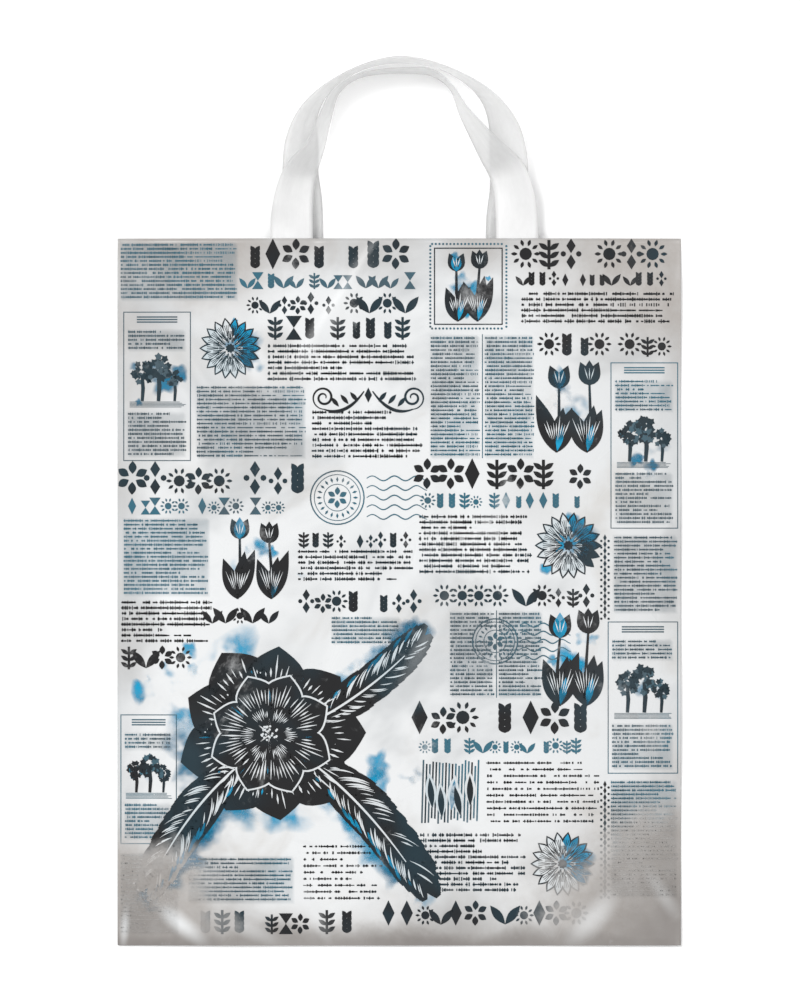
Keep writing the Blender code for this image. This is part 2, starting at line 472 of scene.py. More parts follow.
def stroke(ink, level, path, wide, ends=0.2):
    """A ribbon along a path, with its ends this share as wide as its middle."""
    path = np.array(path, dtype=float)
    ahead = np.gradient(path, axis=0)
    ahead /= np.maximum(np.linalg.norm(ahead, axis=1), 1e-9)[:, None]
    side = np.stack((-ahead[:, 1], ahead[:, 0]), 1)
    run = np.linspace(0, 1, len(path))
    half = (wide / 2 * (ends + (1 - ends) * np.sin(math.pi * run)))[:, None]
    left, right = path + side * half, path - side * half
    for i in range(len(path) - 1):
        put(ink, level, (left[i], right[i], right[i + 1], left[i + 1]))


def frame_lines(ink, x, y, wide, high, line=0.6):
    for along in (y, y + high - line):
        bar(ink, "text", x, along, wide, line)
    for across in (x, x + wide - line):
        bar(ink, "text", across, y, line, high)


# Ornaments of the headline rows: each fits a box of this height around (x, y).


def lozenge(ink, x, y, high):
    star(ink, "head", x, y, 0.5 * high, 0.24 * high, 2, math.pi / 2)


def leaf_pair(ink, x, y, high):
    for angle in (0.9, 2.24):
        leaf(ink, "head", x, y - 0.45 * high, angle, 0.95 * high, 0.34 * high)


def flower(ink, x, y, high):
    for i in range(6):
        angle = math.tau * i / 6 + 0.5
        leaf(ink, "head", *around(x, y, 0.12 * high, angle), angle, 0.38 * high, 0.24 * high)


def hourglass(ink, x, y, high):
    for way in (-0.5, 0.5):
        put(ink, "head", ((x, y), (x - 0.34 * high, y + way * high), (x + 0.34 * high, y + way * high)))


def sprig(ink, x, y, high):
    bar(ink, "head", x - 0.05 * high, y - 0.5 * high, 0.1 * high, 0.95 * high)
    for i in range(3):
        for angle in (0.6, math.pi - 0.6):
            leaf(ink, "head", x, y - 0.42 * high + 0.27 * high * i, angle, 0.4 * high, 0.17 * high)


def sun_wheel(ink, x, y, high):
    star(ink, "head", x, y, 0.2 * high, 0.2 * high, 6)
    for i in range(10):
        angle = math.tau * i / 10
        leaf(ink, "head", *around(x, y, 0.26 * high, angle), angle, 0.22 * high, 0.11 * high)


def wheat(ink, x, y, high):
    for i in range(4):
        for way in (-1, 1):
            leaf(ink, "head", x, y - 0.46 * high + 0.2 * high * i, math.pi / 2 + 0.55 * way,
                 0.34 * high, 0.19 * high)


def stacked(ink, x, y, high):
    for way in (-1, 1):
        star(ink, "head", x, y + 0.26 * high * way, 0.24 * high, 0.15 * high, 2, math.pi / 2)
    for way in (-1, 1):
        star(ink, "head", x + 0.25 * high * way, y, 0.09 * high, 0.09 * high, 4)


ORNAMENTS = (lozenge, leaf_pair, flower, hourglass, sprig, sun_wheel, wheat, stacked)


def headline(x, y, wide, high, seed, ink="dark"):
    """A row of heavy ornaments, in runs of a few with gaps between them."""
    draw = random.Random(seed)
    kinds = draw.sample(ORNAMENTS, 4)
    across = x + 0.35 * high
    run = draw.randint(3, 6)
    while across < x + wide - 0.3 * high:
        size = high * draw.choice((1.0, 1.0, 0.82))
        draw.choice(kinds)(ink, across, y + 0.5 * size, size)
        across += size * draw.uniform(0.66, 0.8)
        run -= 1
        if run == 0:
            across += 0.5 * high
            run = draw.randint(3, 6)


# Blocks of small print.

STYLES = {      # row pitch, tick pitch, tick height, share kept
    "fine": (2.85, 1.25, 2.0, 0.90),
    "bold": (3.9, 1.7, 2.9, 0.88),
    "typed": (4.6, 2.0, 2.2, 0.76),
}
RAGGED = 0.05                       # share of a block's width by which its rows' ends differ
TINT_CELL = 2.5                     # size of one cell of the tint behind small print
TINT_EDGE = 3.0                     # the tint fades out over this width


def small_print(x, y, wide, high, seed, style="fine", ink="slate"):
    TEXT_BLOCKS.append((x, y, wide, high, seed, style, ink))
    if ink == "slate":
        tinted(x - 1, y - 1, wide + 1, high + 1)


def tinted(x, y, wide, high):
    """A faint field of ink behind a block of small print, with soft edges."""
    across, up = max(2, round(wide / TINT_CELL)), max(2, round(high / TINT_CELL))

    def solid(i, j):
        inside = min(i / across * wide, (1 - i / across) * wide, j / up * high, (1 - j / up) * high)
        return min(inside / TINT_EDGE, 1.0)

    for i in range(across):
        for j in range(up):
            corners = ((i, j), (i + 1, j), (i + 1, j + 1), (i, j + 1))
            put("tint", "tint", [(x + a / across * wide, y + b / up * high) for a, b in corners],
                [solid(a, b) for a, b in corners])


def two_columns(x, y, wide, high, seed, style="fine", ink="slate"):
    half = (wide - 3) / 2
    small_print(x, y, half, high, seed, style, ink)
    small_print(x + half + 3, y, half, high, seed + 1, style, ink)
    bar(ink, "text", x + half + 1.2, y, 0.6, high)


# Pictures.


def tree(x, y, high, seed):
    draw = random.Random(seed)
    stroke("dark", "motif", ((x, y), (x + 0.02 * high, y + 0.3 * high), (x, y + 0.6 * high)),
           0.09 * high, 0.8)
    for _ in range(26):
        turn, reach = draw.uniform(0, math.tau), 0.26 * high * draw.random() ** 0.5
        star(draw.choice(("dark", "slate", "dark")), "motif", x + 0.85 * reach * math.cos(turn),
             y + 0.66 * high + reach * math.sin(turn), 0.085 * high, 0.055 * high, 5, turn)
    for i in range(5):
        bar("slate", "text", x - 0.3 * high, y - 0.8 - 0.9 * i, draw.uniform(0.4, 0.62) * high, 0.4)


def ruled_column(x, y, wide, high, seed):
    """A framed column: a ruled heading, small print, a picture of trees, and small print again."""
    frame_lines("slate", x, y, wide, high)
    for i in range(3):
        bar("slate", "text", x + 0.2 * wide, y + high - 4.2 - 1.8 * i, 0.6 * wide, 0.9)
    picture = y + 0.42 * high
    upper = picture + 0.7 * wide
    small_print(x + 3, upper, wide - 6, y + high - 12 - upper, seed)
    small_print(x + 3, y + 3, wide - 6, picture - y - 12, seed + 1)
    for i, place in enumerate((0.28, 0.52, 0.76)):
        tree(x + place * wide, picture - 2, (0.62, 0.72, 0.52)[i] * wide, seed + 2 + i)
    splash(x + 0.6 * wide, picture + 0.25 * wide, 0.22 * wide, seed)


def rosette(x, y, radius, seed):
    """An engraved flower: hatched petals in rings, one side washed with colour."""
    splash(x + 0.42 * radius, y + 0.1 * radius, 0.6 * radius, seed)
    for ring, (reach, count) in enumerate(((1.0, 18), (0.74, 14), (0.48, 10))):
        for i in range(count):
            angle = math.tau * (i + 0.5 * ring) / count
            start = 0.36 * reach * radius
            px, py = around(x, y, start, angle)
            long, wide = 0.64 * reach * radius, 0.3 * reach * radius
            coloured = math.cos(angle - 0.2) > 0.35 and ring < 2
            leaf("dark", "head", px, py, angle, long, wide)
            leaf("cyan" if coloured else "pale", "motif", *around(px, py, 0.04 * long, angle), angle,
                 0.86 * long, 0.68 * wide)
            for k in (-1, 0, 1):
                tip = around(px, py, 0.62 * long, angle + 0.16 * k)
                stroke("dark", "vein", ((px, py), tip), 0.5, 0.9)
    star("dark", "vein", x, y, 0.16 * radius, 0.12 * radius, 9)


def tulips(x, y, wide, high, seed):
    """Tall dark flowers standing side by side, one washed with colour."""
    draw = random.Random(seed)
    for i, place in enumerate((0.27, 0.7)):
        foot = (x + place * wide, y)
        head = (foot[0] + draw.uniform(-2, 2), y + draw.uniform(0.72, 0.8) * high)
        middle = ((foot[0] + head[0]) / 2 + draw.uniform(-2, 2), (foot[1] + head[1]) / 2)
        stroke("dark", "motif", (foot, middle, head), 2.2, 0.7)
        for side in (-1, 1, -0.45):
            leaf("dark", "motif", *foot, math.pi / 2 + 0.34 * side, draw.uniform(0.5, 0.68) * high,
                 0.2 * high, 0.8)
        for side in (-0.5, 0.5, 0):
            leaf("dark" if side or i else "cyan", "motif" if side else "vein", head[0], head[1] - 1,
                 math.pi / 2 + side * 0.75, 0.28 * high, 0.15 * high, 0.8)
        leaf("cyan", "vein", foot[0] + 0.5, foot[1] + 1, math.pi / 2 - 0.2, 0.3 * high, 0.08 * high)
        for k in range(-4, 5):
            angle, low = math.pi / 2 + 0.1 * k, draw.uniform(0.12, 0.2) * high
            top = draw.uniform(0.3, 0.42) * high
            vein = [around(*foot, away, angle) for away in (low, (low + top) / 2, top)]
            stroke("pale", "top", vein, draw.uniform(0.5, 1.0), 0.1)
        for k in (-1, 0, 1):
            vein = [(head[0] + k * f * 0.3, head[1] + f) for f in (0.05 * high, 0.11 * high, 0.18 * high)]
            stroke("pale", "top", vein, 0.8, 0.1)
    splash(x + 0.45 * wide, y + 0.42 * high, 0.3 * wide, seed)


def bent(start, pull, end, count=14):
    """Points along a curve from start to end that is drawn towards pull."""
    start, pull, end = np.array(start), np.array(pull), np.array(end)
    return [(1 - t) ** 2 * start + 2 * t * (1 - t) * pull + t * t * end for t in np.linspace(0, 1, count)]


def scroll(x, y, wide, high):
    """A pair of flourishes that curl outwards from the middle."""
    middle, reach = x + wide / 2, wide / 2
    for way in (-1, 1):
        angles = np.linspace(0, 3.6 * math.pi, 60)
        curl = 0.46 * high * (1 - angles / (4.4 * math.pi))
        eye = (middle + way * (reach - 0.46 * high), y + 0.5 * high)
        path = [(eye[0] + way * r * math.sin(a), eye[1] - r * math.cos(a)) for a, r in zip(angles, curl)]
        stroke("dark", "head", path, 1.7, 0.4)
        start, pull = (middle + way * 3, y + 0.75 * high), (middle + way * 0.4 * reach, y - 0.3 * high)
        stroke("dark", "head", bent(start, pull, path[0]), 2.4, 0.35)
        for k in range(3):
            leaf("dark", "head", middle + way * (0.18 + 0.17 * k) * reach, y + (0.34 - 0.1 * k) * high,
                 math.pi / 2 - way * 0.7, 0.5 * high, 0.17 * high)
    lozenge("dark", middle, y + 0.6 * high, 0.6 * high)


def postmark(x, y, radius):
    for size, line in ((1.0, 0.9), (0.86, 0.5), (0.5, 0.5)):
        rim = [around(x, y, size * radius, angle) for angle in np.linspace(0, math.tau, 36)]
        stroke("slate", "head", rim, line, 1.0)
    for i in range(20):
        angle = math.tau * i / 20
        star("slate", "head", *around(x, y, 0.68 * radius, angle), 0.1 * radius, 0.045 * radius, 2, angle)
    flower("slate", x, y, 0.8 * radius)
    for i in range(5):
        high = y + (i - 2) * 0.36 * radius
        path = [(x + radius * (1.1 + 0.05 * t), high + 0.09 * radius * math.sin(0.38 * t))
                for t in range(46)]
        stroke("slate", "head", path, 0.9, 0.6)


def stamp(x, y, wide, high, seed):
    """A perforated frame with a plant in it."""
    frame_lines("dark", x + 2.6, y + 2.6, wide - 5.2, high - 5.2, 0.8)
    for i in range(int(wide / 2.6)):
        for side in (y, y + high):
            star("slate", "head", x + 1.3 + 2.6 * i, side, 0.8, 0.8, 4)
    for i in range(int(high / 2.6)):
        for side in (x, x + wide):
            star("slate", "head", side, y + 1.3 + 2.6 * i, 0.8, 0.8, 4)
    tulips(x + 0.2 * wide, y + 5, 0.6 * wide, high - 10, seed)


def rope(x, y, high):
    """An upright border of lozenges and dots."""
    for i in range(int(high / 4.6)):
        lozenge("dark", x, y + 4.6 * i + 2.3, 5.0)
        for way in (-1, 1):
            star("dark", "head", x + 2.6 * way, y + 4.6 * i, 0.9, 0.9, 4)


def hatch_panel(x, y, wide, high, seed):
    """A dark engraved panel: close slanting lines that a few leaves are left out of."""
    draw = random.Random(seed)
    for i in range(int(wide / 2.3)):
        low = draw.uniform(0, 0.1) * high
        colour = draw.choice(("dark", "slate"))
        top = high - draw.uniform(0, 0.1) * high
        stroke(colour, "text", ((x + 2.3 * i, y + low), (x + 2.3 * i + 1.2, y + top)), 1.9, 0.6)
    for i in range(5):
        foot = (x + (0.18 + 0.16 * i) * wide, y + draw.uniform(0.1, 0.3) * high)
        angle = draw.uniform(1.2, 1.9)
        leaf("pale", "motif", *foot, angle, 0.55 * high, 0.17 * high)
        leaf("cyan" if i == 2 else "dark", "vein", *foot, angle, 0.48 * high, 0.1 * high)


def feather(path, wide, seed, glow):
    """A large dark plume: curved barbs on both sides of a quill, pale veins and a coloured edge."""
    draw = random.Random(seed)
    steps = np.linspace(0, 1, 64)
    curve = np.array(bent(*path, len(steps)))
    ahead = np.gradient(curve, axis=0)

    def barb(number, side, start, end, grow=1.0):
        """Points along one barb, which bends towards the tip."""
        t = steps[number]
        reach = grow * wide * (0.56 if side > 0 else 0.46) * min(1, 0.5 + 2.6 * (t - 0.2)) * jitter[number]
        reach *= min(1.0, 0.45 + 3.2 * (1 - t)) ** 0.6
        way = math.atan2(ahead[number][1], ahead[number][0])
        points, at = [], curve[number]
        for part in range(8):
            angle = way + side * (0.98 - 0.75 * part / 7) * (1 - 0.45 * t ** 4)
            if part:
                at = at + reach / 7 * np.array((math.cos(angle), math.sin(angle)))
            points.append(tuple(at))
        return points[round(7 * start):round(7 * end) + 1]

    jitter = [draw.uniform(0.93, 1.05) * (0.78 if draw.random() < 0.07 else 1) for _ in steps]
    for i, t in enumerate(steps):
        if t < 0.2:
            continue
        for side in (-1, 1):
            stroke("dark", "motif", barb(i, side, 0, 1), 0.15 * wide, 0.5)
            if side * glow > 0 and i % 5 == 0:
                end = barb(i, side, 0, 1)[-1]
                splash(end[0], end[1], 0.24 * wide, seed + i, 0.3)
            if draw.random() < 0.5:
                start = draw.choice((0.14, 0.28))
                stroke("pale", "vein", barb(i, side, start, draw.choice((0.57, 0.72, 0.86))),
                       draw.uniform(0.6, 1.5), 0.1)
            elif side * glow > 0 and i % 3 == 0:
                stroke("cyan", "vein", barb(i, side, 0.57, 1), 2.2, 0.2)
    stroke("dark", "motif", [tuple(p) for p in curve[:16]], 2.6, 0.5)
    stroke("pale", "vein", [tuple(p) for p in curve[5:-6]], 1.6, 0.4)


def bloom(x, y, radius, seed):
    """A large dark blossom: two rings of broad petals with pale veins and a coloured edge."""
    draw = random.Random(seed)
    for ring, (reach, count, level, above) in enumerate(
            ((1.0, 9, "motif", "vein"), (0.66, 8, "top", "shine"), (0.36, 6, "top", "shine"))):
        for i in range(count):
            angle = math.tau * (i + 0.5 * ring) / count + draw.uniform(-0.08, 0.08)
            long = reach * radius * draw.uniform(0.93, 1.05)
            wide = (0.66 - 0.04 * ring) * long
            if ring == 0 and math.cos(angle - 3.6) > -0.1:
                splash(*around(x, y, 0.82 * long, angle), 0.4 * long, seed + i, 0.4)
            if ring:
                leaf("pale", "vein", x, y, angle, 1.03 * long, 1.07 * wide, 1.7)
            leaf("dark", level, x, y, angle, long, wide, 1.7)
            for k in range(-4, 5):
                start = draw.uniform(0.42, 0.56) if ring else draw.uniform(0.6, 0.7)
                end = draw.uniform(0.74, 0.92) - 0.028 * abs(k)
                vein = [around(x, y, long * f, angle + k * 0.068 * (1 + 0.35 * f))
                        for f in (start, (start + end) / 2, end)]
                coloured = k in (-3, 4) and ring < 2 and i % 2
                stroke("cyan" if coloured else "pale", above, vein,
                       draw.uniform(0.7, 1.7) * (1 - 0.2 * ring), 0.15)
    for i in range(26):
        away, turn = 0.1 * radius * draw.random() ** 0.5, draw.uniform(0, math.tau)
        star("pale", "shine", *around(x, y, away, turn), 0.8, 0.8, 4)


def splash(x, y, reach, seed, core=0.55):
    """An uneven pool of thin colour that fades out at its rim."""
    draw = random.Random(seed)
    phases = [draw.uniform(0, math.tau) for _ in range(4)]
    rings = []
    for share in (core, 1.0):
        ring = []
        for i in range(25):
            angle = math.tau * i / 24
            away = 1 + sum(0.13 * math.sin((k + 2) * angle + p) for k, p in enumerate(phases))
            away *= share * reach
            ring.append(around(x, y, away, angle))
        rings.append(ring)
    inner, outer = rings
    for i in range(24):
        put("cyan", "wash", ((x, y), inner[i], inner[i + 1]))
        put("cyan", "wash", (inner[i], outer[i], outer[i + 1], inner[i + 1]), (1, 0, 0, 1))


def blots(x, y, reach, count, seed):
    """A few pools of colour around a spot."""
    draw = random.Random(seed)
    for i in range(count):
        splash(x + draw.gauss(0, 0.42) * reach, y + draw.gauss(0, 0.42) * reach,
               reach * draw.uniform(0.08, 0.3), seed * 50 + i)


def lay_out():
    small_print(2, 458, 84, 42, 1)
    headline(90, 480, 128, 22, 2)
    headline(88, 466, 128, 12, 3, "slate")
    headline(92, 448, 122, 16, 33)
    stamp(222, 438, 54, 60, 4)
    headline(282, 480, 118, 22, 5)
    headline(284, 468, 112, 11, 25)
    small_print(286, 440, 110, 26, 6, "bold", "dark")
    ruled_column(4, 344, 48, 106, 7)
    rosette(80, 424, 22, 8)
    headline(106, 430, 112, 17, 10)
    small_print(106, 400, 110, 28, 9, "bold", "dark")
    small_print(56, 346, 78, 52, 11)
    scroll(138, 380, 80, 18)
    small_print(138, 344, 80, 38, 12, "bold", "dark")
    two_columns(222, 346, 74, 88, 13)
    headline(300, 418, 100, 18, 14)
    tulips(298, 350, 50, 64, 15)
    ruled_column(350, 296, 48, 118, 16)
    headline(2, 320, 134, 24, 17)
    headline(6, 306, 112, 12, 18, "slate")
    postmark(156, 318, 19)
    small_print(4, 248, 62, 56, 19)
    tulips(70, 246, 56, 56, 20)
    headline(128, 282, 84, 12, 44)
    small_print(128, 258, 82, 24, 21, "bold", "dark")
    headline(212, 324, 132, 22, 22)
    headline(216, 310, 120, 12, 23, "slate")
    small_print(214, 262, 80, 46, 24, "bold", "dark")
    rosette(320, 284, 24, 25)
    rope(346, 232, 62)
    small_print(352, 236, 46, 56, 26)
    headline(128, 236, 92, 17, 27)
    headline(226, 240, 116, 17, 28)
    two_columns(236, 176, 66, 62, 29)
    tulips(302, 170, 44, 66, 30)
    ruled_column(348, 122, 50, 108, 31)
    small_print(2, 214, 66, 32, 32, "bold", "dark")
    headline(62, 228, 62, 15, 48)
    small_print(152, 214, 50, 20, 49)
    headline(206, 150, 138, 24, 36)
    headline(214, 136, 122, 12, 37, "slate")
    small_print(2, 8, 42, 58, 34)
    ruled_column(2, 72, 40, 92, 35)
    headline(2, 196, 56, 17, 29)
    small_print(262, 84, 82, 50, 38, "typed", "dark")
    hatch_panel(216, 86, 42, 46, 39)
    rosette(316, 58, 23, 40)
    small_print(350, 34, 48, 84, 41)
    small_print(214, 36, 76, 46, 42, "bold", "dark")
    headline(186, 14, 156, 18, 43)
    headline(56, 8, 124, 18, 45)
    small_print(50, 30, 76, 34, 46)
    small_print(132, 30, 56, 44, 47, "typed", "dark")
    rope(346, 34, 84)
    postmark(268, 216, 16)
    feather(((112, 146), (166, 118), (214, 46)), 56, 51, -1)
    feather(((112, 146), (60, 116), (26, 50)), 54, 52, 1)
    feather(((112, 146), (170, 170), (212, 214)), 46, 54, 1)
    bloom(108, 150, 66, 53)
    for i, (x, y, reach) in enumerate(((82, 424, 26), (320, 384, 30), (100, 270, 26), (318, 282, 24),
                                       (324, 200, 26), (196, 112, 34), (40, 190, 34), (30, 400, 22),
                                       (250, 470, 20), (374, 350, 20))):
        blots(x, y, reach, 6, 60 + i)


# ---- print: laid on the film ------------------------------------------------------------


def clip_to_panel(shape):
    """Cuts away what would run over the edges of the panel."""
    right, top = 2 * HALF / MM - SIDE_MARGIN, LENGTH / MM - MOUTH_MARGIN
    for place, out in (((SIDE_MARGIN, 0, 0), (-1, 0, 0)), ((right, 0, 0), (1, 0, 0)),
                       ((0, SIDE_MARGIN, 0), (0, -1, 0)), ((0, top, 0), (0, 1, 0))):
        bmesh.ops.bisect_plane(shape, geom=shape.verts[:] + shape.edges[:] + shape.faces[:],
                               plane_co=place, plane_no=out, clear_outer=True)


def cut_up(shape, step=BROAD_FROM):
    """Cuts broad shapes along a grid, so that they can bend with the film."""
    for axis, size in ((0, 2 * HALF / MM), (1, LENGTH / MM)):
        out = (1, 0, 0) if axis == 0 else (0, 1, 0)
        for at in np.arange(step, size, step):
            near = []
            for face in shape.faces:
                reached = [corner.co[axis] for corner in face.verts]
                if min(reached) < at < max(reached):
                    near.append(face)
            parts = set(near)
            for face in near:
                parts.update(face.edges)
                parts.update(face.verts)
            place = (at * out[0], at * out[1], 0)
            bmesh.ops.bisect_plane(shape, geom=list(parts), plane_co=place, plane_no=out)


def flat_mesh(shape):
    """Vertices and triangles of a bmesh."""
    bmesh.ops.triangulate(shape, faces=shape.faces[:])
    shape.verts.index_update()
    points = np.array([(*v.co, v[SOLID[shape]]) for v in shape.verts]).reshape(-1, 4)
    faces = np.array([[v.index for v in f.verts] for f in shape.faces], dtype=int).reshape(-1, 3)
    return points, faces


def laid_on_front(points):
    x, y = points[:, 0] * MM - HALF, points[:, 1] * MM + FOLD
    return np.stack((x, y, FRONT_PANEL(x, y) + points[:, 2] * MM), 1)


def laid_on_back(points):
    x, y = HALF - points[:, 0] * MM, points[:, 1] * MM + FOLD
    return np.stack((x, y, BACK_PANEL(x, y) - BACK_LEVELS * points[:, 2] * MM), 1)


def kept_clear(placed, polygons, panel, side):
    """Lifts corners off the bent film wherever one of the flat faces would cut into it."""
    for _ in range(3):
        corners = placed[polygons]
        middles = (corners + np.roll(corners, 1, axis=1)) / 2
        centres = corners.mean(axis=1, keepdims=True)
        spots = np.concatenate((middles, centres, (corners + centres) / 2, (middles + centres) / 2), axis=1)
        gap = side * (spots[:, :, 2] - panel(spots[:, :, 0], spots[:, :, 1]))
        short = np.maximum(LEAST_CLEAR - gap.min(axis=1), 0.0)
        lift = np.zeros(len(placed))
        np.maximum.at(lift, polygons, short[:, None])
        placed[:, 2] += side * lift
    return placed


# ---- small print: rows of ticks from one node tree -------------------------------------


class Graph:
    """Short ways to add and join nodes in a tree."""

    def __init__(self, tree):
        self.tree = tree

    def add(self, kind, inputs=(), **settings):
        made = self.tree.nodes.new(kind)
        for key, value in settings.items():
            setattr(made, key, value)
        for key, value in dict(inputs).items():
            self.feed(made.inputs[key], value)
        return made

    def feed(self, socket, value):
        if isinstance(value, bpy.types.NodeSocket):
            self.tree.links.new(value, socket)
        else:
            socket.default_value = value

    def maths(self, operation, *values, kind="ShaderNodeMath"):
        made = self.add(kind, operation=operation)
        for socket, value in zip(made.inputs, values):
            self.feed(socket, value)
        return made.outputs[0]


def small_print_tree():
    """Rows of short upright ticks and dots, with word gaps and ragged row ends."""
    tree = bpy.data.node_groups.new("small_print", "GeometryNodeTree")
    for name in ("Width", "Height", "Row Pitch", "Tick Pitch", "Tick Height", "Kept", "Ragged"):
        tree.interface.new_socket(name=name, in_out="INPUT", socket_type="NodeSocketFloat")
    tree.interface.new_socket(name="Seed", in_out="INPUT", socket_type="NodeSocketInt")
    tree.interface.new_socket(name="Material", in_out="INPUT", socket_type="NodeSocketMaterial")
    tree.interface.new_socket(name="Geometry", in_out="OUTPUT", socket_type="NodeSocketGeometry")
    g = Graph(tree)
    given = g.add("NodeGroupInput").outputs
    columns = g.maths("FLOOR", g.maths("DIVIDE", given["Width"], given["Tick Pitch"]))
    rows = g.maths("FLOOR", g.maths("DIVIDE", given["Height"], given["Row Pitch"]))
    wide = g.maths("MULTIPLY", g.maths("SUBTRACT", columns, 1.0), given["Tick Pitch"])
    high = g.maths("MULTIPLY", g.maths("SUBTRACT", rows, 1.0), given["Row Pitch"])
    grid = g.add("GeometryNodeMeshGrid", {"Size X": wide, "Size Y": high, "Vertices X": columns,
                                          "Vertices Y": rows}).outputs["Mesh"]
    place = g.add("ShaderNodeSeparateXYZ", {"Vector": g.add("GeometryNodeInputPosition").outputs[0]})
    row = g.maths("ROUND", g.maths("DIVIDE", place.outputs["Y"], given["Row Pitch"]))

    def draw(low, high, step, number=None):
        made = g.add("FunctionNodeRandomValue", data_type="FLOAT")
        g.feed(made.inputs[2], low)
        g.feed(made.inputs[3], high)
        if number is not None:
            g.feed(made.inputs["ID"], number)
        g.feed(made.inputs["Seed"], g.maths("ADD", given["Seed"], float(step)))
        return made.outputs[1]

    short = g.maths("POWER", draw(0.0, 1.0, 1, row), 4.0)
    cut = g.maths("ADD", g.maths("MULTIPLY", given["Ragged"], draw(0.0, 1.0, 2, row)),
                  g.maths("MULTIPLY", short, 0.55))
    end = g.maths("MULTIPLY", given["Width"], g.maths("SUBTRACT", 0.5, cut))
    in_row = g.maths("LESS_THAN", place.outputs["X"], end)
    kept = g.maths("LESS_THAN", draw(0.0, 1.0, 3), given["Kept"])
    chosen = g.maths("MULTIPLY", in_row, kept)
    shapes = g.add("GeometryNodeJoinGeometry")
    for number, (wide_share, high_share, up, usual) in enumerate((
            ((0.34, 0.6), (0.5, 1.0), 0.0, 0.92), ((1.0, 1.1), (0.26, 0.5), -0.04, 0.88))):
        base = 10 * (number + 1)
        moved = g.add("ShaderNodeCombineXYZ", {
            "X": g.maths("MULTIPLY", given["Tick Pitch"], draw(-0.14, 0.14, base)),
            "Y": g.maths("MULTIPLY", given["Tick Height"], up)})
        points = g.add("GeometryNodeSetPosition", {"Geometry": grid, "Offset": moved.outputs[0]})
        size = g.add("ShaderNodeCombineXYZ", {
            "X": g.maths("MULTIPLY", given["Tick Pitch"], draw(*wide_share, base + 1)),
            "Y": g.maths("MULTIPLY", given["Tick Height"], draw(*high_share, base + 2)), "Z": 1.0})
        drawn = g.maths("MULTIPLY", chosen, g.maths("LESS_THAN", draw(0.0, 1.0, base + 3), usual))
        tick = g.add("GeometryNodeMeshGrid", {"Size X": 1.0, "Size Y": 1.0, "Vertices X": 2,
                                              "Vertices Y": 2})
        placed = g.add("GeometryNodeInstanceOnPoints", {
            "Points": points.outputs[0], "Selection": drawn, "Instance": tick.outputs["Mesh"],
            "Scale": size.outputs[0]})
        tree.links.new(placed.outputs[0], shapes.inputs[0])
    real = g.add("GeometryNodeRealizeInstances", {"Geometry": shapes.outputs[0]})
    finish = g.add("GeometryNodeSetMaterial", {"Geometry": real.outputs[0], "Material": given["Material"]})
    g.add("NodeGroupOutput", {"Geometry": finish.outputs[0]})
    return tree


def print_block(tree, x, y, wide, high, seed, style, material):
    """One block of small print as flat points and faces, in millimetres on the panel."""
    row_pitch, tick_pitch, tick_height, share = STYLES[style]
    start = bpy.data.meshes.new("block")
    obj = bpy.data.objects.new("block", start)
    bpy.context.scene.collection.objects.link(obj)
    modifier = obj.modifiers.new("print", "NODES")
    modifier.node_group = tree
    given = {"Width": wide, "Height": high, "Row Pitch": row_pitch, "Tick Pitch": tick_pitch,
             "Tick Height": tick_height, "Kept": share, "Ragged": RAGGED, "Seed": seed * 100,
             "Material": material}
    for item in tree.interface.items_tree:
        if item.in_out == "INPUT":
            value = given[item.name]
            modifier[item.identifier] = value if item.name in ("Seed", "Material") else float(value)
    graph = bpy.context.evaluated_depsgraph_get()
    made = bpy.data.meshes.new_from_object(obj.evaluated_get(graph))
    points = np.empty(len(made.vertices) * 3)
    made.vertices.foreach_get("co", points)
    points = points.reshape(-1, 3) + (x + wide / 2, y + high / 2, LEVELS["text"])
    points = np.column_stack((points, np.ones(len(points))))
    faces = np.empty(len(made.polygons) * 4, dtype=np.int32)
    made.polygons.foreach_get("vertices", faces)
    bpy.data.objects.remove(obj)
    bpy.data.meshes.remove(made)
    bpy.data.meshes.remove(start)
    return points, faces.reshape(-1, 4)


# ---- materials -----------------------------------------------------------------------


def blot_mask(g, place, centre, reach, soft, wobble):
    """A mask, 1 near a spot of the panel (in millimetres) and 0 beyond an uneven edge."""
    spot = ((centre[0] * MM - HALF), FOLD + centre[1] * MM, 0.0)
    flat = g.maths("MULTIPLY", place, (1.0, 1.0, 0.0), kind="ShaderNodeVectorMath")
    away = g.add("ShaderNodeVectorMath", operation="DISTANCE")
    g.feed(away.inputs[0], flat)
    g.feed(away.inputs[1], spot)
    uneven = g.maths("ADD", away.outputs["Value"], g.maths("MULTIPLY", wobble, reach * 0.9 * MM))
    return smooth_range(g, uneven, (reach + soft) * MM, (reach - soft) * MM)


def smooth_range(g, value, low, high, to_low=0.0, to_high=1.0):
    made = g.add("ShaderNodeMapRange", interpolation_type="SMOOTHSTEP")
    for socket, given in zip(made.inputs, (value, low, high, to_low, to_high)):
        g.feed(socket, given)
    return made.outputs[0]


def noise(g, place, scale, detail=3.0, rough=0.55, warp=0.0):
    made = g.add("ShaderNodeTexNoise", {"Vector": place, "Scale": scale, "Detail": detail,
                                        "Roughness": rough, "Distortion": warp})
    return made.outputs["Fac"]


def mixed(g, share, first, second):
    made = g.add("ShaderNodeMix", data_type="RGBA")
    g.feed(made.inputs[0], share)
    g.feed(made.inputs[6], first)
    g.feed(made.inputs[7], second)
    return made.outputs[2]


